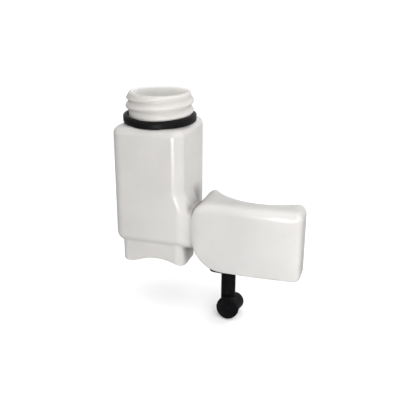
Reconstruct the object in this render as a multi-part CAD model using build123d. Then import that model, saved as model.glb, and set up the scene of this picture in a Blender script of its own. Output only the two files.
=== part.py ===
from build123d import *
from math import cos, radians, sin
import os

# Blow-moulded two-chamber fluid tank with a threaded filler neck and a shut-off tap under the side lobe.
# Everything is drawn with the tank standing on its feet (z = 0) and moved down at the end, so that the
# origin is where the neck axis meets the shoulder on which the rubber ring sits.  Millimetres, +Z up.

# ---- tank shell ----
wall = 2.2
seat_z = 126.8                      # shoulder the neck ring rests on
tall_x = (-33.4, 31.5)
tall_y = (-35.0, 36.5)
tall_z = (19.0, seat_z)
tall_corner = 10.0
tall_edge = 7.0

foot_x = (-27.0, 33.0)
foot_front_y = (-33.5, -7.0)
foot_rear_y = (10.0, 34.5)
foot_z = (0.0, 26.0)
foot_corner = 6.0
arch_x = 6.5
arch_height = 5.5
arch_span = 43.0

lobe_x = (38.0, 137.0)
lobe_front_y = -35.0
lobe_back_left_y = 14.0
lobe_back_right_y = -3.5
lobe_z = (0.0, 66.3)
lobe_low_left = 34.0                # radii of the front view, going round from the lower left
lobe_low_right = 10.5
lobe_top_right = 12.0
lobe_top_left = 24.0
lobe_edge = 9.0                     # rounding of the front and back outlines
recess_centre = (97.5, 40.0)        # concave back that clears a round neighbour
recess_radius = 52.0

duct_x = (18.0, 56.0)
duct_y = (-33.0, 7.5)
duct_z = (13.5, 48.0)
duct_edge = 8.0
flare_r = 24.5                      # sweep of the duct's top into the side of the tall chamber

# ---- filler neck ----
neck_bore_r = 24.2
neck_root_r = 28.0
lip_r = 26.0
lip_z = 154.0
lip_taper = 4.0
thread_major_r = 30.4
thread_bead_r = 2.6
thread_pitch = 8.8
thread_turns = 1.6
thread_start_z = 137.1
thread_start_angle = 25.0

# ---- neck ring ----
ring_inner_r = 28.6
ring_outer_r = 32.8
ring_height = 7.4

# ---- outlet under the lobe ----
outlet = (70.8, -17.0)
flange_turn = 8.0                  # the flange ears lie on a line turned this much from +X
ear_spacing = 23.0
ear_r = 6.0
hub_r = 8.4
gasket_thickness = 1.0
flange_thickness = 2.8
outlet_hole_r = 6.2
pad_height = 9.0
insert_r = 2.9
insert_height = 7.0
screw_r = 2.0
screw_length = 9.0
screw_head_r = 4.0
screw_head_height = 2.2
socket_r = 1.4

# ---- tap body ----
stem_r = 6.6
stem_bore_r = 2.3
stem_below = 4.0                    # how far the stem runs on below the barrel's axis
riser_r = 4.4                       # tube that stands up through the tank wall
riser_top = 6.5
barrel_at = (74.9, -17.0, -36.4)
barrel_turn = 6.3                   # the knob end points to the front, turned from -Y towards -X ...
barrel_rise = 8.0                   # ... and up by this much
barrel_r = 8.2
barrel_front = 9.2
barrel_rear = -8.8
cavity_r = 6.6
cavity_floor = 3.2
port_offset = 4.05
port_r = 1.7
cross_at = -5.2                     # cross passage from the outlet port to the spigot
cross_r = 1.4
spigot_r = 3.2
spigot_chamfer = 0.5
spigot_bore_r = 1.9
spigot_length = 9.0

# ---- valve ----
seat_thickness = 1.2
rotor_thickness = 1.8
rotor_r = 6.35
groove_depth = 1.0
spindle_r = 2.5
spindle_flat = 1.9                  # distance of the drive flat from the axis
spindle_end = 12.0
washer_thickness = 0.35
washer_bow_r = 22.0
washer_r = (3.0, 5.6)
nut_z = (7.6, 9.1)
nut_r = 7.1
nut_hole_r = 3.65
nut_slot = 1.4
running_gap = 0.05
seal_section_r = 0.55

# ---- knob ----
knob_r = 10.4
knob_back = 9.7
knob_front = 14.6
knob_edge = 1.2
knob_flutes = 18
flute_r = 1.0
flute_depth = 0.4
index_size = (7.0, 1.6, 0.7)
knob_screw_r = 1.2
knob_screw_head_r = 2.4
knob_screw_head_height = 1.3

# ---- strainer ----
cage_r = (4.95, 5.7)
cage_z = (1.5, 30.0)
cage_socket_r = 4.45
cage_socket_top = 6.7
cage_cap = 1.6
cage_ribs = 6
rib_width = 1.6
gauze_r = (4.65, 4.9)


def mid(pair):
    return (pair[0] + pair[1]) / 2


def shrink(pair, inset):
    return pair[0] + inset, pair[1] - inset


def size(pair):
    return pair[1] - pair[0]


def soft_fillet(shape, edges, radii):
    """Round the edges with the first of the radii that the shape can take."""
    for radius in radii:
        try:
            rounded = fillet(edges, radius)
            if rounded.is_valid and rounded.volume > 0:
                return rounded
        except Exception:
            continue
    return shape


def rounded_block(x, y, z, corner, edge):
    """Upright block with rounded vertical corners and rounded top and bottom rims."""
    plan = Pos(mid(x), mid(y), z[0]) * RectangleRounded(size(x), size(y), corner)
    block = extrude(plan, size(z))
    rims = block.faces().sort_by(Axis.Z)[0].edges() + block.faces().sort_by(Axis.Z)[-1].edges()
    return fillet(rims, edge)


def tall_chamber(inset):
    return rounded_block(shrink(tall_x, inset), shrink(tall_y, inset), shrink(tall_z, inset),
                         tall_corner - inset, tall_edge - inset)


def foot_block(y, inset):
    """Foot rib with an arched underside between its two feet."""
    x = shrink(foot_x, inset)
    y = shrink(y, inset)
    z = (foot_z[0] + inset, foot_z[1])
    block = extrude(Pos(mid(x), mid(y), z[0]) * RectangleRounded(size(x), size(y), foot_corner - inset), size(z))
    arch_r = (arch_span ** 2 / 4 + arch_height ** 2) / (2 * arch_height)
    arch = Pos(arch_x, mid(y), arch_height - arch_r) * Rot(90, 0, 0) * Cylinder(arch_r + inset, 2 * size(y))
    block = block - arch
    lower = block.edges().filter_by_position(Axis.Z, -1, arch_height + inset + 0.6)
    return soft_fillet(block, lower, (2.5 - inset / 2, 1.0, 0.5))


def lobe_chamber(inset):
    """Side lobe: rounded front view, pushed back and cut by the concave recess."""
    x = shrink(lobe_x, inset)
    z = shrink(lobe_z, inset)
    front = lobe_front_y + inset
    back = lobe_back_left_y - inset
    corners = ((x[0], z[0], lobe_low_left), (x[1], z[0], lobe_low_right),
               (x[1], z[1], lobe_top_right), (x[0], z[1], lobe_top_left))
    outline = Polyline(*[(cx, cz) for cx, cz, _ in corners], close=True)
    face = make_face(outline)
    for cx, cz, radius in corners:
        vertex = face.vertices().sort_by_distance((cx, cz, 0))[0]
        face = fillet(vertex, radius - inset)
    body = extrude(Plane.XZ.offset(-front) * face, -(back - front))
    recess = Pos(*recess_centre, mid(z)) * Cylinder(recess_radius + inset, 2 * size(z))
    behind = Pos(x[1] + 100 - size(x) / 2 + 10, lobe_back_right_y - inset + 50, mid(z)) * Box(200, 100, 2 * size(z))
    body = body - recess - behind
    front_rim = body.edges().filter_by(lambda e: abs(e.center().Y - front) < 0.01
                                       and abs((e @ 0).Y - front) < 0.01 and abs((e @ 1).Y - front) < 0.01)
    body = soft_fillet(body, front_rim, (lobe_edge - inset, 6.0, 4.0))
    back_rim = body.edges().filter_by(lambda e: min((e @ 0).Y, (e @ 1).Y, e.center().Y) > front + lobe_edge + 0.5
                                      and e.length > 2)
    return soft_fillet(body, back_rim, (7.0 - inset, 5.0, 4.0, 3.0, 2.0))


def duct_block(inset):
    """Duct between the chambers, its top flaring up the side of the tall chamber."""
    y, z = shrink(duct_y, inset), shrink(duct_z, inset)
    centre = (tall_x[1] + flare_r, duct_z[1] + flare_r)
    reach = (flare_r + inset) * sin(radians(45))
    outline = Polyline((centre[0] - flare_r - inset, centre[1]), (duct_x[0], centre[1]), (duct_x[0], z[0]),
                       (centre[0], z[0]), (centre[0], z[1]))
    flare = ThreePointArc((centre[0], z[1]), (centre[0] - reach, centre[1] - reach),
                          (centre[0] - flare_r - inset, centre[1]))
    block = extrude(Plane.XZ.offset(-y[0]) * make_face([outline, flare]), -size(y))
    rims = block.edges().filter_by(lambda e: e.geom_type == GeomType.CIRCLE
                                   or abs(e.center().Z - z[0]) < 0.01 and abs(e.tangent_at(0.5).X) > 0.9)
    return soft_fillet(block, rims, (duct_edge - inset, 4.0, 2.0))


def tank_form(inset):
    """The chambers as one solid, drawn smaller by the inset."""
    form = tall_chamber(inset) + duct_block(inset) + lobe_chamber(inset)
    return form + foot_block(foot_front_y, inset) + foot_block(foot_rear_y, inset)


def neck_form():
    """Neck wall with a rounded two-turn thread, solid across its bore."""
    root = seat_z - 2 * wall
    neck = Pos(0, 0, root) * Cylinder(neck_root_r, lip_z - lip_taper - root,
                                      align=(Align.CENTER, Align.CENTER, Align.MIN))
    neck += Pos(0, 0, lip_z - lip_taper) * Cone(neck_root_r, lip_r, lip_taper,
                                                align=(Align.CENTER, Align.CENTER, Align.MIN))
    centre_r = thread_major_r - thread_bead_r
    path = Helix(thread_pitch, thread_pitch * thread_turns, centre_r)
    bead = sweep(Plane(origin=path @ 0, z_dir=path % 0) * Circle(thread_bead_r), path, is_frenet=True)
    for end in (path @ 0, path @ 1):
        bead += Pos(*end) * Sphere(thread_bead_r)
    return neck + Pos(0, 0, thread_start_z) * Rot(0, 0, thread_start_angle) * bead


def ear_positions():
    """Centres of the two flange ears."""
    reach = ear_spacing / 2
    step = (reach * cos(radians(flange_turn)), reach * sin(radians(flange_turn)))
    return [(outlet[0] + side * step[0], outlet[1] + side * step[1]) for side in (-1, 1)]


def ear_plate(low, high):
    """Plate with a round hub and two ears, between two heights."""
    plate = Pos(*outlet, low) * Rot(0, 0, flange_turn) * extrude(
        make_hull((Sketch() + Circle(hub_r) + [Pos(side * ear_spacing / 2, 0) * Circle(ear_r)
                                               for side in (-1, 1)]).edges()), high - low)
    return plate


def upright(xy, low, high, radius):
    """Cylinder standing at xy between two heights."""
    return Pos(*xy, low) * Cylinder(radius, high - low, align=(Align.CENTER, Align.CENTER, Align.MIN))


# Barrel frame: local z runs along the barrel towards the knob, local x to the right.
turn, rise = radians(barrel_turn), radians(barrel_rise)
barrel_plane = Plane(origin=barrel_at,
                     x_dir=(cos(turn), -sin(turn), 0),
                     z_dir=(-sin(turn) * cos(rise), -cos(turn) * cos(rise), sin(rise)))


def along(low, high, radius, x=0.0):
    """Cylinder along the barrel direction, in the barrel frame."""
    return Pos(x, 0, low) * Cylinder(radius, high - low, align=(Align.CENTER, Align.CENTER, Align.MIN))


def build_tank_shell():
    shell = tank_form(0)
    shell = shell + neck_form() - tank_form(wall) + ear_plate(0, pad_height)
    shell -= upright((0, 0), seat_z - 3 * wall, lip_z + 1, neck_bore_r)
    shell -= upright(outlet, -1, pad_height + 1, outlet_hole_r)
    for ear in ear_positions():
        shell -= upright(ear, -1, insert_height, insert_r)
    return shell


def build_neck_ring():
    ring = upright((0, 0), seat_z, seat_z + ring_height, ring_outer_r)
    ring -= upright((0, 0), seat_z - 1, seat_z + ring_height + 1, ring_inner_r)
    return fillet(ring.edges(), 1.9)


def build_outlet_inserts():
    inserts = []
    for ear in ear_positions():
        insert = upright(ear, 0, insert_height, insert_r) - upright(ear, -1, insert_height - 1, screw_r)
        for low in (1.6, 4.2):
            groove = upright(ear, low, low + 0.8, insert_r + 1) - upright(ear, low, low + 0.8, insert_r - 0.4)
            insert -= groove
        inserts.append(insert)
    return Compound(inserts)


def build_flange_gasket():
    gasket = ear_plate(-gasket_thickness, 0) - upright(outlet, -9, 9, outlet_hole_r)
    for ear in ear_positions():
        gasket -= upright(ear, -9, 9, screw_r + 0.2)
    return gasket


def build_tap_body():
    top = -gasket_thickness
    bottom = top - flange_thickness
    body = ear_plate(bottom, top)
    body = fillet(body.faces().sort_by(Axis.Z)[0].edges(), 0.8)
    stem = upright(outlet, barrel_at[2] - stem_below, top, stem_r)
    stem = fillet(stem.faces().sort_by(Axis.Z)[0].edges(), 2.0)
    body += stem + upright(outlet, top, riser_top, riser_r)
    barrel = along(barrel_rear, barrel_front, barrel_r)
    barrel = fillet(barrel.edges(), 0.7)
    spigot_end = barrel_rear - spigot_length
    spigot = along(spigot_end, barrel_rear + 1, spigot_r)
    spigot = chamfer(spigot.faces().sort_by(Axis.Z)[0].edges(), spigot_chamfer)
    body += barrel_plane * (barrel + spigot)
    hollow = along(cavity_floor, barrel_front + 1, cavity_r) + along(nut_z[0], barrel_front + 1, nut_r)
    hollow += along(-1, cavity_floor + 1, port_r, -port_offset)
    hollow += along(cross_at - port_r, cavity_floor + 1, port_r, port_offset)
    hollow += Pos(port_offset / 2, 0, cross_at) * Rot(0, 90, 0) * Cylinder(cross_r, port_offset)
    hollow += along(spigot_end - 1, cross_at + spigot_bore_r, spigot_bore_r)
    body -= barrel_plane * hollow
    body -= upright(outlet, barrel_at[2] - port_r + 0.4, riser_top + 1, stem_bore_r)
    for ear in ear_positions():
        body -= upright(ear, bottom - 1, top + 1, screw_r + 0.2)
        body -= Pos(*ear, bottom + screw_head_height / 2) * Cone(screw_head_r + 0.1, screw_r + 0.2, screw_head_height)
    return body


def build_flange_screws():
    bottom = -gasket_thickness - flange_thickness
    screws = []
    for ear in ear_positions():
        screw = Pos(*ear, bottom + screw_head_height / 2) * Cone(screw_head_r, screw_r, screw_head_height)
        screw += upright(ear, bottom + screw_head_height, bottom + screw_length, screw_r)
        screw -= Pos(*ear, bottom) * extrude(RegularPolygon(socket_r, 6), 1.4)
        screws.append(screw)
    return Compound(screws)


def build_strainer_cage():
    cage = upright(outlet, cage_z[0], cage_socket_top, cage_r[1])
    cage -= upright(outlet, 0, cage_socket_top + 1, cage_socket_r)
    tube = upright(outlet, cage_socket_top, cage_z[1], cage_r[1])
    tube -= upright(outlet, cage_socket_top, cage_z[1] - cage_cap, cage_r[0])
    window_height = cage_z[1] - cage_cap - cage_socket_top
    gaps = upright(outlet, cage_socket_top, cage_z[1] - cage_cap, cage_r[1] + 1)
    for rib in range(cage_ribs // 2):
        angle = rib * 360 / cage_ribs
        gaps -= (Pos(*outlet, cage_socket_top + window_height / 2) * Rot(0, 0, angle)
                 * Box(4 * cage_r[1], rib_width, window_height))
    for hoop in (1, 2):
        level = cage_socket_top + hoop * window_height / 3
        gaps -= upright(outlet, level - 0.6, level + 0.6, cage_r[1] + 1)
    return cage + (tube - gaps)


def build_strainer_gauze():
    low, high = cage_socket_top + 0.05, cage_z[1] - cage_cap - 0.05
    return upright(outlet, low, high, gauze_r[1]) - upright(outlet, low - 1, high + 1, gauze_r[0])


def build_valve_seat():
    seat = along(cavity_floor, cavity_floor + seat_thickness, cavity_r)
    for side in (-1, 1):
        seat -= along(cavity_floor - 1, cavity_floor + seat_thickness + 1, port_r, side * port_offset)
    return barrel_plane * seat


def build_tap_rotor():
    low = cavity_floor + seat_thickness + running_gap
    rotor = along(low, low + rotor_thickness, rotor_r)
    groove = Pos(0, 0, low + groove_depth / 2) * Box(2 * port_offset, 2 * port_r, groove_depth)
    groove += along(low, low + groove_depth, port_r, -port_offset) + along(low, low + groove_depth, port_r, port_offset)
    rotor -= groove
    spindle = along(low + rotor_thickness, spindle_end, spindle_r)
    flat = Pos(0, spindle_flat + 5, (knob_back + spindle_end) / 2) * Box(20, 10, spindle_end - knob_back)
    rotor += spindle - flat
    rotor -= along(8.0, spindle_end + 1, knob_screw_r)
    return barrel_plane * rotor


def build_rotor_seal():
    return barrel_plane * (Pos(0, 0, mid(nut_z)) * Torus(spindle_r + seal_section_r, seal_section_r))


def build_spring_washer():
    low = cavity_floor + seat_thickness + running_gap + rotor_thickness
    ring = along(low, low + 3, washer_r[1]) - along(low - 1, low + 4, washer_r[0])
    bow = Pos(0, 0, low + washer_bow_r) * Rot(0, 90, 0) * (
        Cylinder(washer_bow_r, 30) - Cylinder(washer_bow_r - washer_thickness, 30))
    return barrel_plane * (ring & bow)


def build_retaining_nut():
    nut = along(nut_z[0], nut_z[1], nut_r) - along(nut_z[0] - 1, nut_z[1] + 1, nut_hole_r)
    for side in (-1, 1):
        nut -= Pos(side * nut_r, 0, nut_z[1]) * Box(3.0, nut_slot, 1.4)
    return barrel_plane * nut


def build_tap_knob():
    knob = fillet(along(knob_back, knob_front, knob_r).edges(), knob_edge)
    for flute in range(knob_flutes):
        angle = (flute + 0.5) * 360 / knob_flutes
        knob -= Rot(0, 0, angle) * along(knob_back - 1, knob_front + 1, flute_r, knob_r + flute_r - flute_depth)
    knob += Pos(0, knob_r - index_size[0] / 2 - knob_edge, knob_front) * Box(
        index_size[1], index_size[0], 2 * index_size[2])
    socket = along(knob_back - 1, spindle_end, spindle_r + 0.05)
    socket -= Pos(0, spindle_flat + 5.05, mid((knob_back, spindle_end))) * Box(20, 10, 20)
    knob -= socket
    knob -= along(spindle_end - 1, knob_front + 1, knob_screw_r + 0.1)
    knob -= along(knob_front - knob_screw_head_height, knob_front + 2, knob_screw_head_r + 0.2)
    return barrel_plane * knob


def build_knob_screw():
    seat = knob_front - knob_screw_head_height
    screw = along(8.4, seat, knob_screw_r) + along(seat, knob_front - 0.1, knob_screw_head_r)
    for angle in (0, 90):
        screw -= Rot(0, 0, angle) * Pos(0, 0, knob_front - 0.1) * Box(3.0, 0.6, 1.2)
    return barrel_plane * screw


builders = {
    "tank_shell": build_tank_shell,
    "neck_ring": build_neck_ring,
    "outlet_inserts": build_outlet_inserts,
    "flange_gasket": build_flange_gasket,
    "tap_body": build_tap_body,
    "flange_screws": build_flange_screws,
    "strainer_cage": build_strainer_cage,
    "strainer_gauze": build_strainer_gauze,
    "valve_seat": build_valve_seat,
    "tap_rotor": build_tap_rotor,
    "rotor_seal": build_rotor_seal,
    "spring_washer": build_spring_washer,
    "retaining_nut": build_retaining_nut,
    "tap_knob": build_tap_knob,
    "knob_screw": build_knob_screw,
}

os.makedirs("parts", exist_ok=True)
for name, build in builders.items():
    export_step(Pos(0, 0, -seat_z) * build(), f"parts/{name}.step")
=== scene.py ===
import math

import bpy
import numpy as np
from mathutils import Matrix, Vector


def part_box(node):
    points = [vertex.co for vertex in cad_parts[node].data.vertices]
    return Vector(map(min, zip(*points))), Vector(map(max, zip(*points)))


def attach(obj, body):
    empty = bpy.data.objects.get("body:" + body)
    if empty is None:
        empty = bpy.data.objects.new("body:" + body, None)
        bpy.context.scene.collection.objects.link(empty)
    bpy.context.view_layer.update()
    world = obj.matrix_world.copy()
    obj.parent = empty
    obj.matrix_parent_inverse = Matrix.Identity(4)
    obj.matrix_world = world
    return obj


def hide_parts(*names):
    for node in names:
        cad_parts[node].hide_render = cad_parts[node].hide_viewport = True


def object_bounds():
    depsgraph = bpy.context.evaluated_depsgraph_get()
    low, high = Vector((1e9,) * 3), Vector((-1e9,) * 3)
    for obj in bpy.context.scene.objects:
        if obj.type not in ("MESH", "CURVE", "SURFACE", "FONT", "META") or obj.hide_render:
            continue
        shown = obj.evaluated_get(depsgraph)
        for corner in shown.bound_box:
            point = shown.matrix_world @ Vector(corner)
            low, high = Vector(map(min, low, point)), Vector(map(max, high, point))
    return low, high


# Looks of the two-chamber fluid tank: a blow-moulded translucent shell with soft blended webs, a coarse
# rounded neck thread, a rubber ring that has settled on the shoulder, and a black shut-off tap.
# The shell is drawn as a distance field in millimetres above its feet, then meshed; the rest is CAD.
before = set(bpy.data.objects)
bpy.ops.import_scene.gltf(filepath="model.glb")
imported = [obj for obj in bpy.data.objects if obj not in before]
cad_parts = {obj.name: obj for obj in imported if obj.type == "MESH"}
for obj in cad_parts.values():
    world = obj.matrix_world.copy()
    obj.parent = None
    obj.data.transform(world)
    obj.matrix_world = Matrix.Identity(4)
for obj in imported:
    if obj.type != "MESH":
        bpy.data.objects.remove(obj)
cad_low, cad_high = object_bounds()
shell_low, shell_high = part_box("tank_shell")
feet = shell_low.z * 1000           # height of the feet in the frame, in millimetres

# ---- tank shell ----
wall = 2.2
seat_z = -feet
lip_z = shell_high.z * 1000 - feet
tall_x = (-33.4, 31.5)
tall_y = (-35.0, 36.5)
tall_floor = 19.0
tall_corner, tall_top_edge, tall_bottom_edge = 10.0, 7.0, 9.0
foot_x = (-27.0, 33.0)
foot_rows = ((-32.5, -1.0), (10.0, 34.5))
foot_top, foot_corner = 24.0, (6.0, 9.0, 4.0, 6.0)
foot_edge, foot_top_edge = 2.5, 1.0
arch_x, arch_height, arch_span = 6.5, 5.5, 43.0
lobe_x = (38.0, 137.0)
lobe_y = (-35.0, 15.5)
lobe_back_right, lobe_back_edge = -3.5, 5.0
lobe_top = 66.3
lobe_edge, lobe_top_edge, lobe_bottom_edge, lobe_rim = 9.0, 10.0, 4.0, 3.0
lobe_middle, lobe_crown, crown_edge = 84.0, 2.2, 2.0    # the front is furthest out at lobe_middle
lobe_low_left, lobe_high_left = 34.0, 21.0
recess_at, recess_r, recess_rim = (97.5, 40.0), 52.0, 4.0
lobe_melt, foot_melt = 5.5, 1.0     # widths over which they run into the rest
web_x, web_back = (12.0, 56.0), 8.0
web_top, web_fall, web_sweep = 54.0, 0.2, 22.0
web_lean_from, web_lean = 30.0, 0.55
web_floor, web_floor_fall, web_floor_fall_from = 18.0, 0.2, 30.0
web_edge, web_back_edge, web_bottom_edge = 10.0, 9.0, 11.0
sunk_x, sunk_front, sunk_floor = 20.0, 2.5, 8.0     # left of sunk_x the web draws back into the tall chamber
below_shoulder = 12.0               # the web stays this far under the shoulder

# ---- neck ----
bore_r, root_r, crest_r, lip_r = 24.2, 27.7, 30.2, 26.6
pitch, bead_half = 8.8, 4.0
crest_z, crest_angle = 137.1, math.radians(25)      # the thread's crest is at this height at this angle
thread_start, thread_end = math.radians(-130), math.radians(600)
run_in, run_out = 1.6, 1.2          # angles over which the thread fades in and out
out_of_round = 0.3                  # how far the neck is from a true circle
lip_drop, lip_wave, lip_ripple, lip_edge = 0.35, 0.25, 0.1, 1.1     # the lip isn't quite flat
lip_slope = 0.55                    # widening below the lip, for each millimetre down

# ---- outlet ----
outlet = (70.8, -17.0)
ear_angle, ear_reach = math.radians(8.0), 11.5
hub_r, ear_r, pad_height = 8.4, 6.0, 9.0
outlet_r, insert_r, insert_height = 6.2, 2.9, 7.0

# ---- ring ----
ring_inner_r, ring_edge = 28.65, 1.9
ring_squash, ring_sag = 0.17, 1.5   # how much it is pressed flat and droops at the front

# ---- camera, in metres ----
eye, look_at = (0.20013, -0.51819, 0.12827), Vector((0.03876, 0.0, -0.0738))
lens, roll = 55.95, math.radians(0.27)

# ---- light ----
sky_towards = (0.35, 0.15, 0.92)    # the sky is brightest overhead, leaning to the right and back
sky_strength = (0.34, 1.50)         # in the darkest and brightest directions
key_power, side_power, back_power = 2.9, 0.42, 1.3


# ---------------------------------------------------------------- distance fields
def both(a, b, r):
    """Where a and b meet, with the edge between them rounded to r."""
    return np.minimum(np.maximum(a, b), -r) + np.hypot(np.maximum(a + r, 0), np.maximum(b + r, 0))


def either(a, b, r):
    """a and b together, with a fillet r in the corner between them."""
    return np.maximum(r, np.minimum(a, b)) - np.hypot(np.maximum(r - a, 0), np.maximum(r - b, 0))


def melt(a, b, k):
    """a and b together, run into each other over the width k."""
    h = np.clip(0.5 + 0.5 * (b - a) / k, 0, 1)
    return b * (1 - h) + a * h - k * h * (1 - h)


def rectangle(u, v, u_span, v_span, radii):
    """Rounded rectangle. radii is one number, or four going round from the lowest u and v."""
    du, dv = u - sum(u_span) / 2, v - sum(v_span) / 2
    if np.ndim(radii):
        low, high = np.where(du < 0, radii[0], radii[1]), np.where(du < 0, radii[3], radii[2])
        radii = np.where(dv < 0, low, high)
    qu = np.abs(du) - (u_span[1] - u_span[0]) / 2 + radii
    qv = np.abs(dv) - (v_span[1] - v_span[0]) / 2 + radii
    return np.minimum(np.maximum(qu, qv), 0) + np.hypot(np.maximum(qu, 0), np.maximum(qv, 0)) - radii


def tall_chamber(x, y, z):
    """Upright chamber under the neck."""
    body = both(rectangle(x, y, tall_x, tall_y, tall_corner), z - seat_z, tall_top_edge)
    return both(body, tall_floor - z, tall_bottom_edge)


def foot(x, y, z, row):
    """Foot rib with an arch between its two feet."""
    rib = both(rectangle(x, y, foot_x, row, foot_corner), z - foot_top, foot_top_edge)
    rib = both(rib, -z, foot_edge)
    arch_r = (arch_span ** 2 / 4 + arch_height ** 2) / (2 * arch_height)
    return both(rib, arch_r - np.hypot(x - arch_x, z - arch_height + arch_r), foot_edge)


def lobe(x, y, z):
    """Side lobe with a crowned front, a large radius at its lower left and a concave back."""
    recess = recess_r - np.hypot(x - recess_at[0], y - recess_at[1])
    plan = both(rectangle(x, y, lobe_x, lobe_y, lobe_edge), recess, recess_rim)
    far_inside = -1000.0
    plan = both(plan, np.where(x > recess_at[0], y - lobe_back_right, far_inside), lobe_back_edge)
    crown = lobe_y[0] + lobe_crown * ((x - lobe_middle) / (lobe_x[1] - lobe_middle)) ** 2 - y
    body = both(both(both(plan, crown, crown_edge), z - lobe_top, lobe_top_edge), -z, lobe_bottom_edge)
    radii = (lobe_low_left, 5.0, 5.0, lobe_high_left)
    # The outline's right end lies well beyond the lobe's, which the plan shapes.
    outline = rectangle(x, z, (lobe_x[0], lobe_x[1] + 40), (0, lobe_top), radii)
    return both(body, outline, lobe_rim)


def web(x, y, z):
    """Web between the chambers: it sweeps out of the tall chamber's side and leans back as it goes right."""
    top = web_top - web_fall * (y - tall_y[0])
    sweep = either(x - tall_x[1], z - top, web_sweep)
    lean = web_lean * 2 * np.log1p(np.exp(np.clip((x - web_lean_from) / 2, -30, 30)))
    sunk = 1 / (1 + np.exp(np.clip((x - sunk_x) / 1.5, -30, 30)))
    body = both(sweep, tall_y[0] + lean + sunk_front * sunk - y, web_edge)
    body = both(body, y - web_back, web_back_edge)
    floor = web_floor - web_floor_fall * np.maximum(x - web_floor_fall_from, 0) + sunk_floor * sunk
    body = both(body, floor - z, web_bottom_edge)
    return np.maximum(np.maximum(body, x - web_x[1]), np.maximum(z - seat_z + below_shoulder, web_x[0] - x))


def tank_outside(x, y, z):
    """Outside of the chambers, web and feet, without the neck."""
    body = melt(np.minimum(tall_chamber(x, y, z), web(x, y, z)), lobe(x, y, z), lobe_melt)
    for row in foot_rows:
        body = melt(body, foot(x, y, z, row), foot_melt)
    return body


def smooth_step(low, high, value):
    """0 up to low, 1 from high on, and an even climb between."""
    t = np.clip((value - low) / (high - low), 0, 1)
    return t * t * (3 - 2 * t)


def neck_outside(x, y, z):
    """Neck with a shallow rounded thread that fades in above the ring and out below the lip."""
    radius, angle = np.hypot(x, y), np.arctan2(y, x)
    profile = root_r + out_of_round * np.sin(2 * angle + 0.6) * smooth_step(seat_z + 8, lip_z, z)
    for turn in range(-1, 3):
        along = angle + 2 * math.pi * turn
        centre = crest_z + pitch * (along - crest_angle) / (2 * math.pi)
        swell = np.cos(np.clip((z - centre) / bead_half, -1, 1) * math.pi / 2) ** 1.2
        fade = smooth_step(thread_start, thread_start + run_in, along)
        fade = fade * (1 - smooth_step(thread_end, thread_end + run_out, along))
        profile = profile + (crest_r - root_r) * swell * fade
    lip = lip_z - lip_drop + lip_wave * np.sin(2 * angle + 1.1) + lip_ripple * np.sin(5 * angle)
    narrow = lip_r + lip_slope * (lip_z - z)
    side = np.maximum(radius - profile, (radius - narrow) * 0.88)
    return both(both(side * 0.85, z - lip, lip_edge), seat_z - 8 - z, 1.0)


def outlet_pad(x, y, z):
    """Thick oblong pad in the lobe's floor that the tap's flange is screwed to."""
    along = (x - outlet[0]) * math.cos(ear_angle) + (y - outlet[1]) * math.sin(ear_angle)
    across = (y - outlet[1]) * math.cos(ear_angle) - (x - outlet[0]) * math.sin(ear_angle)
    share = np.clip(np.abs(along) / ear_reach, 0, 1)
    plan = np.hypot(np.abs(along) - ear_reach * share, across) - (hub_r + (ear_r - hub_r) * share)
    return both(both(plan, z - pad_height, 0.8), -z, 0.3)


def shell(x, y, z):
    """The whole moulding: hollow chambers and neck, and the pad with its outlet and two insert holes."""
    outside = tank_outside(x, y, z)
    bore = np.maximum(np.hypot(x, y) - bore_r, seat_z - 3 * wall - z)
    inside = np.minimum(outside + wall, bore)
    walls = both(np.minimum(outside, neck_outside(x, y, z)), -inside, 0.7)
    walls = np.minimum(walls, outlet_pad(x, y, z))
    for side in (-1, 1):
        ear_x = outlet[0] + side * ear_reach * math.cos(ear_angle)
        ear_y = outlet[1] + side * ear_reach * math.sin(ear_angle)
        hole = np.hypot(x - ear_x, y - ear_y) - insert_r
        walls = np.maximum(walls, -np.maximum(hole, z - insert_height))
    way_out = np.hypot(x - outlet[0], y - outlet[1]) - outlet_r
    return np.maximum(walls, -np.maximum(way_out, z - pad_height - 2))


# ---------------------------------------------------------------- meshes
def add_mesh(name, vertices, faces, material, body):
    """New smooth mesh object that rides on a body. vertices are in millimetres in the frame."""
    mesh = bpy.data.meshes.new(name)
    mesh.from_pydata((np.asarray(vertices) / 1000).tolist(), [], np.asarray(faces).tolist())
    mesh.polygons.foreach_set("use_smooth", [True] * len(mesh.polygons))
    mesh.materials.append(material)
    mesh.update()
    piece = bpy.data.objects.new(name, mesh)
    bpy.context.scene.collection.objects.link(piece)
    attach(piece, body)
    return piece


def gradient(field, points, reach=0.03):
    """Slope of a field at points, from how it changes over a short reach."""
    change = [field(*(points + step).T) - field(*(points - step).T) for step in np.eye(3) * reach]
    return np.stack(change, 1) / (2 * reach)


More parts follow.
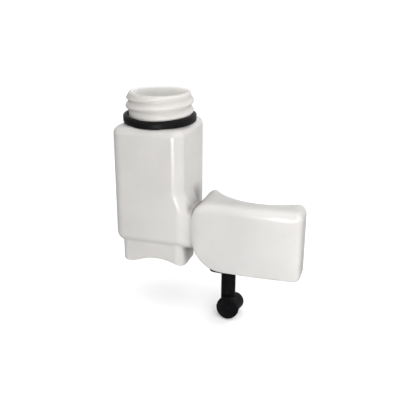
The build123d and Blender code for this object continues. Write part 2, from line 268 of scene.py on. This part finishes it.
def surface_net(field, axes, polish=3):
    """Quads over the zero level of a field on a rectilinear grid, with every corner moved onto it."""
    value = field(*np.meshgrid(*axes, indexing="ij", sparse=True))
    solid = value < 0
    corners = [(i, j, k) for i in (0, 1) for j in (0, 1) for k in (0, 1)]
    ni, nj, nk = (n - 1 for n in solid.shape)
    counts = sum(solid[i:i + ni, j:j + nj, k:k + nk].astype(int) for i, j, k in corners)
    cells = np.argwhere((counts > 0) & (counts < 8))
    ids = np.full(counts.shape, -1)
    ids[tuple(cells.T)] = np.arange(len(cells))
    at_corner = np.stack([value[tuple((cells + corner).T)] for corner in corners], 1)
    place, crossings = np.zeros((len(cells), 3)), np.zeros(len(cells))
    for a, first in enumerate(corners):
        for b, second in enumerate(corners):
            if b > a and sum(abs(p - q) for p, q in zip(first, second)) == 1:
                va, vb = at_corner[:, a], at_corner[:, b]
                cut = (va < 0) != (vb < 0)
                share = np.where(cut, va / np.where(cut, va - vb, 1), 0)[:, None]
                place += cut[:, None] * (np.array(first) + share * (np.array(second) - first))
                crossings += cut
    place /= crossings[:, None]
    points = np.stack([line[cells[:, n]] + place[:, n] * (line[cells[:, n] + 1] - line[cells[:, n]])
                       for n, line in enumerate(axes)], 1)
    faces = []
    for axis in range(3):
        lower, near = np.moveaxis(solid, axis, 0), np.moveaxis(ids, axis, 0)
        i, j, k = np.nonzero(lower[:-1, 1:-1, 1:-1] != lower[1:, 1:-1, 1:-1])
        quads = np.stack([near[i, j, k], near[i, j + 1, k], near[i, j + 1, k + 1], near[i, j, k + 1]], 1)
        flip = lower[i, j + 1, k + 1] == (axis == 1)
        quads[flip] = quads[flip, ::-1]
        faces.append(quads)
    for _ in range(polish):
        slope = gradient(field, points)
        move = slope * (field(*points.T) / np.maximum((slope ** 2).sum(1), 0.2))[:, None]
        points = points - np.clip(move, -0.5, 0.5)
    return points, np.concatenate(faces)


def open_air(field, points, reaches=(4, 9, 15)):
    """1 where a surface is open to the air and 0 deep in a crease, from how fast the field grows off it."""
    slope = gradient(field, points)
    outward = slope / np.linalg.norm(slope, axis=1, keepdims=True)
    shares = [np.clip(field(*(points + reach * outward).T) / reach, 0, 1) for reach in reaches]
    return sum(shares) / len(reaches)


def build_shell(material):
    """The moulding, meshed finer above fine_from, where the thread is."""
    step, fine_step, fine_from, margin = 1.0, 0.7, 3, 2
    low, high = [v * 1000 - margin for v in shell_low], [v * 1000 + margin for v in shell_high]
    axes = [np.arange(low[n], high[n] + step, step) for n in range(3)]
    fine = np.arange(fine_from + fine_step, high[2] + fine_step, fine_step)
    axes[2] = np.concatenate([np.arange(low[2], fine_from, step), fine])
    points, faces = surface_net(lambda x, y, z: shell(x, y, z - feet), axes)
    points = np.clip(points, [v * 1000 for v in shell_low], [v * 1000 for v in shell_high])
    piece = add_mesh("tank_moulding", points, faces, material, "tank")
    # How open each point is to the air; the polyethylene uses it to paint shade into the creases.
    openness = open_air(lambda x, y, z: tank_outside(x, y, z - feet), points)
    piece.data.attributes.new("open_air", "FLOAT", "POINT").data.foreach_set("value", openness)
    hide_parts("tank_shell")


def build_ring(material):
    """Rubber ring that has settled onto the rounded shoulder at the front."""
    outer, height = [v * 1000 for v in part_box("neck_ring")[1].xz]
    inner_r, outer_r = ring_inner_r + ring_edge, outer - ring_edge
    low_z, high_z = ring_edge, height - ring_edge
    section = []
    for corner_r, corner_z, start in ((outer_r, low_z, -90), (outer_r, high_z, 0), (inner_r, high_z, 90),
                                      (inner_r, low_z, 180)):
        for turn in np.radians(np.linspace(start, start + 90, 9)):
            section.append((corner_r + ring_edge * math.cos(turn), corner_z + ring_edge * math.sin(turn)))
    section, spokes = np.array(section), 192
    points = []
    for angle in np.linspace(0, 2 * math.pi, spokes, endpoint=False):
        front = max(0.0, -math.sin(angle)) ** 3
        outward = (section[:, 0] - ring_inner_r) / (outer - ring_inner_r)
        z = section[:, 1] * (1 - ring_squash * front) - ring_sag * front * outward ** 1.5
        points.append(np.stack([section[:, 0] * math.cos(angle), section[:, 0] * math.sin(angle), z], 1))
    n = len(section)
    i, j = np.meshgrid(np.arange(spokes), np.arange(n), indexing="ij")
    a, b = i * n + j, i * n + (j + 1) % n
    c, d = (i + 1) % spokes * n + (j + 1) % n, (i + 1) % spokes * n + j
    faces = np.stack([a, d, c, b], -1).reshape(-1, 4)
    piece = add_mesh("ring_settled", np.concatenate(points), faces, material, "tank")
    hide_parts("neck_ring")


# ---------------------------------------------------------------- materials
def start_material(name):
    material = bpy.data.materials.new(name)
    material.use_nodes = True
    nodes, links = material.node_tree.nodes, material.node_tree.links
    return material, nodes, links, nodes["Principled BSDF"]


def noise(nodes, links, scale, detail=4.0, roughness=0.55, stretch=(1, 1, 1)):
    """Noise over the piece in metres, so scale counts features per metre."""
    place = nodes.new("ShaderNodeTexCoord")
    mapping = nodes.new("ShaderNodeMapping")
    mapping.inputs["Scale"].default_value = stretch
    texture = nodes.new("ShaderNodeTexNoise")
    texture.inputs["Scale"].default_value = scale
    texture.inputs["Detail"].default_value = detail
    texture.inputs["Roughness"].default_value = roughness
    links.new(place.outputs["Object"], mapping.inputs["Vector"])
    links.new(mapping.outputs["Vector"], texture.inputs["Vector"])
    return texture.outputs["Fac"]


def remap(nodes, links, source, low, high, start=0.3, end=0.7):
    """low to high as the source goes from start to end, and flat outside that."""
    node = nodes.new("ShaderNodeMapRange")
    node.inputs["From Min"].default_value, node.inputs["From Max"].default_value = start, end
    node.inputs["To Min"].default_value, node.inputs["To Max"].default_value = low, high
    links.new(source, node.inputs["Value"])
    return node.outputs["Result"]


def blend_colours(nodes, links, factor, first, second):
    """first where the factor is 0 and second where it is 1; each is a colour or a socket."""
    node = nodes.new("ShaderNodeMix")
    node.data_type = "RGBA"
    for socket, value in ((node.inputs[6], first), (node.inputs[7], second)):
        if isinstance(value, tuple):
            socket.default_value = (*value, 1)
        else:
            links.new(value, socket)
    links.new(factor, node.inputs[0])
    return node.outputs[2]


def add_bumps(nodes, links, shader, *layers):
    """Bump layers, each (height source, depth in metres), one on top of the other."""
    normal = None
    for source, depth in layers:
        bump = nodes.new("ShaderNodeBump")
        bump.inputs["Strength"].default_value = 1.0
        bump.inputs["Distance"].default_value = depth
        links.new(source, bump.inputs["Height"])
        if normal:
            links.new(normal, bump.inputs["Normal"])
        normal = bump.outputs["Normal"]
    links.new(normal, shader.inputs["Normal"])


def attribute(nodes, name):
    """Value that the mesh holds at each of its points."""
    node = nodes.new("ShaderNodeAttribute")
    node.attribute_name = name
    return node.outputs["Fac"]


def inside_bore(nodes, links):
    """1 on the inside of the neck and 0 elsewhere."""
    place, split = nodes.new("ShaderNodeTexCoord"), nodes.new("ShaderNodeSeparateXYZ")
    links.new(place.outputs["Object"], split.inputs["Vector"])
    flat, length = nodes.new("ShaderNodeCombineXYZ"), nodes.new("ShaderNodeVectorMath")
    length.operation = "LENGTH"
    links.new(split.outputs["X"], flat.inputs["X"])
    links.new(split.outputs["Y"], flat.inputs["Y"])
    links.new(flat.outputs["Vector"], length.inputs[0])
    edge = ((bore_r + 0.3) / 1000, (bore_r + 1.2) / 1000)
    near = remap(nodes, links, length.outputs["Value"], 1, 0, *edge)
    above = remap(nodes, links, split.outputs["Z"], 0, 1, -0.012, 0.004)
    product = nodes.new("ShaderNodeMath")
    product.operation = "MULTIPLY"
    links.new(near, product.inputs[0])
    links.new(above, product.inputs[1])
    return product.outputs["Value"]


def polyethylene():
    """Natural polyethylene: milky, glossy, slightly uneven from blow moulding, with fine scuffs."""
    material, nodes, links, shader = start_material("natural_polyethylene")
    cloud = remap(nodes, links, noise(nodes, links, 22, 3), 0, 1)
    tone = blend_colours(nodes, links, cloud, (0.475, 0.462, 0.445), (0.515, 0.502, 0.488))
    grime = remap(nodes, links, noise(nodes, links, 60, 6, 0.7), 0, 0.35, 0.55, 0.8)
    tone = blend_colours(nodes, links, grime, tone, (0.45, 0.435, 0.41))
    # Painted light: the inside of the neck gets a much lighter colour, standing in for light that reaches
    # it.
    tone = blend_colours(nodes, links, inside_bore(nodes, links), tone, (0.80, 0.79, 0.77))
    crease_painted_shade = remap(nodes, links, attribute(nodes, "open_air"), 0, 1, 0.25, 0.9)
    tone = blend_colours(nodes, links, crease_painted_shade, (0.23, 0.22, 0.205), tone)   # painted shade: the colour is darker in the creases, where open_air is low
    links.new(tone, shader.inputs["Base Color"])
    scuffs = noise(nodes, links, 260, 3, 0.6, (1, 1, 0.6))
    links.new(remap(nodes, links, scuffs, 0.235, 0.265), shader.inputs["Roughness"])
    shader.inputs["IOR"].default_value = 1.52
    shader.inputs["Subsurface Weight"].default_value = 1.0
    shader.inputs["Subsurface Radius"].default_value = (1.0, 0.97, 0.92)
    shader.inputs["Subsurface Scale"].default_value = 0.008
    waves, grain = (noise(nodes, links, 30, 2, 0.4), 0.0003), (noise(nodes, links, 900, 3), 0.000006)
    add_bumps(nodes, links, shader, waves, grain)
    return material


def black_plastic(name, tone, rough, grain):
    """Moulded black nylon with a fine spark-eroded grain and rubbed high spots."""
    material, nodes, links, shader = start_material(name)
    rubbed = remap(nodes, links, noise(nodes, links, 140, 5, 0.65), 0, 1, 0.45, 0.75)
    lighter = tuple(c * 1.6 + 0.001 for c in tone)
    links.new(blend_colours(nodes, links, rubbed, tone, lighter), shader.inputs["Base Color"])
    worn = remap(nodes, links, noise(nodes, links, 420, 4), rough - 0.07, rough + 0.1)
    links.new(worn, shader.inputs["Roughness"])
    shader.inputs["Specular IOR Level"].default_value = 0.02
    fine, sink = (noise(nodes, links, 1800, 3, 0.6), grain), (noise(nodes, links, 90, 2), grain * 4)
    add_bumps(nodes, links, shader, fine, sink)
    return material


def rubber(name, tone):
    """Dull black rubber with a dusty bloom."""
    material, nodes, links, shader = start_material(name)
    bloom = remap(nodes, links, noise(nodes, links, 95, 6, 0.7), 0, 0.7, 0.4, 0.75)
    dusty = tuple(c + 0.006 for c in tone)
    links.new(blend_colours(nodes, links, bloom, tone, dusty), shader.inputs["Base Color"])
    links.new(remap(nodes, links, noise(nodes, links, 500, 4), 0.30, 0.46), shader.inputs["Roughness"])
    shader.inputs["Specular IOR Level"].default_value = 0.06
    add_bumps(nodes, links, shader, (noise(nodes, links, 1500, 4), 0.00003))
    return material


def pale_plastic(name, tone):
    """Unfilled nylon or acetal, slightly waxy."""
    material, nodes, links, shader = start_material(name)
    stain = remap(nodes, links, noise(nodes, links, 120, 5), 0, 0.5, 0.45, 0.8)
    stained = tuple(c * 0.86 for c in tone)
    links.new(blend_colours(nodes, links, stain, tone, stained), shader.inputs["Base Color"])
    links.new(remap(nodes, links, noise(nodes, links, 600, 3), 0.32, 0.48), shader.inputs["Roughness"])
    shader.inputs["Subsurface Weight"].default_value = 0.2
    shader.inputs["Subsurface Radius"].default_value = (1.0, 0.9, 0.8)
    shader.inputs["Subsurface Scale"].default_value = 0.001
    add_bumps(nodes, links, shader, (noise(nodes, links, 1600, 3), 0.00002))
    return material


def metal(name, tone, rough, stretch):
    """Machined or plated metal with tool lines along the direction that the noise is stretched in."""
    material, nodes, links, shader = start_material(name)
    lines = noise(nodes, links, 900, 3, 0.6, stretch)
    tarnish = remap(nodes, links, noise(nodes, links, 160, 6, 0.7), 0, 0.8, 0.45, 0.8)
    tarnished = tuple(c * 0.6 for c in tone)
    links.new(blend_colours(nodes, links, tarnish, tone, tarnished), shader.inputs["Base Color"])
    links.new(remap(nodes, links, lines, rough - 0.08, rough + 0.12), shader.inputs["Roughness"])
    shader.inputs["Metallic"].default_value = 1.0
    add_bumps(nodes, links, shader, (lines, 0.00002))
    return material


def finish_cad_nodes():
    """Materials for the nodes whose CAD shape stays."""
    zinc = metal("zinc_plate", (0.62, 0.62, 0.64), 0.3, (1, 1, 0.2))
    nylon = black_plastic("black_nylon", (0.004, 0.004, 0.0045), 0.30, 0.00002)
    natural = pale_plastic("natural_nylon", (0.82, 0.81, 0.77))
    nitrile = rubber("nitrile", (0.012, 0.012, 0.012))
    finishes = {
        "outlet_inserts": metal("turned_brass", (0.72, 0.55, 0.28), 0.28, (0.3, 0.3, 1)),
        "flange_gasket": nitrile,
        "tap_body": nylon,
        "flange_screws": zinc,
        "strainer_cage": natural,
        "strainer_gauze": metal("stainless_gauze", (0.6, 0.6, 0.6), 0.35, (1, 1, 1)),
        "valve_seat": nitrile,
        "tap_rotor": pale_plastic("acetal", (0.75, 0.75, 0.72)),
        "rotor_seal": nitrile,
        "spring_washer": metal("spring_steel", (0.45, 0.45, 0.46), 0.3, (1, 0.2, 1)),
        "retaining_nut": nylon,
        "tap_knob": black_plastic("knob_nylon", (0.0035, 0.0035, 0.004), 0.36, 0.00003),
        "knob_screw": metal("black_oxide", (0.012, 0.012, 0.013), 0.45, (1, 1, 1)),
    }
    for node, material in finishes.items():
        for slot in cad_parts[node].material_slots:
            slot.material = material


# ---------------------------------------------------------------- floor, lights and camera
def plain_material(name, tone, rough):
    material, nodes, links, shader = start_material(name)
    links.new(blend_colours(nodes, links, noise(nodes, links, 3, 2), tone, tuple(c * 0.985 for c in tone)),
              shader.inputs["Base Color"])
    shader.inputs["Roughness"].default_value = rough
    shader.inputs["Specular IOR Level"].default_value = 0.2
    return material


def build_floor():
    reach, z = 30.0, cad_low.z - 0.0002
    corners = [(-reach, -reach, z), (reach, -reach, z), (reach, reach, z), (-reach, reach, z)]
    mesh = bpy.data.meshes.new("floor")
    mesh.from_pydata(corners, [], [(0, 1, 2, 3)])
    mesh.materials.append(plain_material("floor_paper", (0.93, 0.93, 0.93), 0.9))
    floor = bpy.data.objects.new("floor", mesh)
    bpy.context.scene.collection.objects.link(floor)
    # It throws no light back, and the sky's weak light comes up through it.
    floor.visible_glossy = floor.visible_diffuse = floor.visible_shadow = False


def from_angles(azimuth, elevation):
    """Unit vector to a place round the object. Azimuth 0 is the front, -Y, and 90 is +X."""
    a, e = math.radians(azimuth), math.radians(elevation)
    return Vector((math.sin(a) * math.cos(e), -math.cos(a) * math.cos(e), math.sin(e)))


def soft_light(name, azimuth, elevation, distance, size, power):
    """Square soft box that faces the middle of the object."""
    light = bpy.data.lights.new(name, "AREA")
    light.shape, light.size, light.energy = "SQUARE", size, power
    lamp = bpy.data.objects.new(name, light)
    bpy.context.scene.collection.objects.link(lamp)
    middle = (cad_low + cad_high) / 2
    lamp.location = middle + from_angles(azimuth, elevation) * distance
    lamp.visible_camera = False
    lamp.rotation_mode = "QUATERNION"
    lamp.rotation_quaternion = (middle - lamp.location).to_track_quat("-Z", "Y")
    return lamp


def build_lights():
    """A broad white sky, a soft box almost straight in front, one close by on the right and one behind."""
    world = bpy.data.worlds.new("studio")
    world.use_nodes = True
    nodes, links = world.node_tree.nodes, world.node_tree.links
    direction, lean = nodes.new("ShaderNodeTexCoord"), nodes.new("ShaderNodeVectorMath")
    lean.operation = "DOT_PRODUCT"
    lean.inputs[1].default_value = sky_towards
    links.new(direction.outputs["Generated"], lean.inputs[0])
    strength = remap(nodes, links, lean.outputs["Value"], *sky_strength, -0.35, 1)
    links.new(strength, nodes["Background"].inputs["Strength"])
    nodes["Background"].inputs["Color"].default_value = (1, 1, 1, 1)
    bpy.context.scene.world = world
    soft_light("key", 6.7, -3, 0.75, 0.16, key_power)
    soft_light("side", 31, 6, 0.27, 0.16, side_power).visible_glossy = False
    soft_light("back", 150, 15, 0.60, 0.30, back_power).visible_glossy = False
    bpy.context.scene.view_settings.view_transform = "Standard"


def build_camera():
    camera = bpy.data.cameras.new("camera")
    camera.lens, camera.sensor_width = lens, 36.0
    camera.clip_start, camera.clip_end = 0.01, 100
    viewer = bpy.data.objects.new("camera", camera)
    bpy.context.scene.collection.objects.link(viewer)
    viewer.location = eye
    turn = Matrix.Rotation(roll, 4, "Z").to_quaternion()
    viewer.rotation_mode = "QUATERNION"
    viewer.rotation_quaternion = (look_at - viewer.location).to_track_quat("-Z", "Y") @ turn
    bpy.context.scene.camera = viewer


build_shell(polyethylene())
build_ring(rubber("ring_rubber", (0.004, 0.004, 0.004)))
finish_cad_nodes()
build_floor()
build_lights()
build_camera()
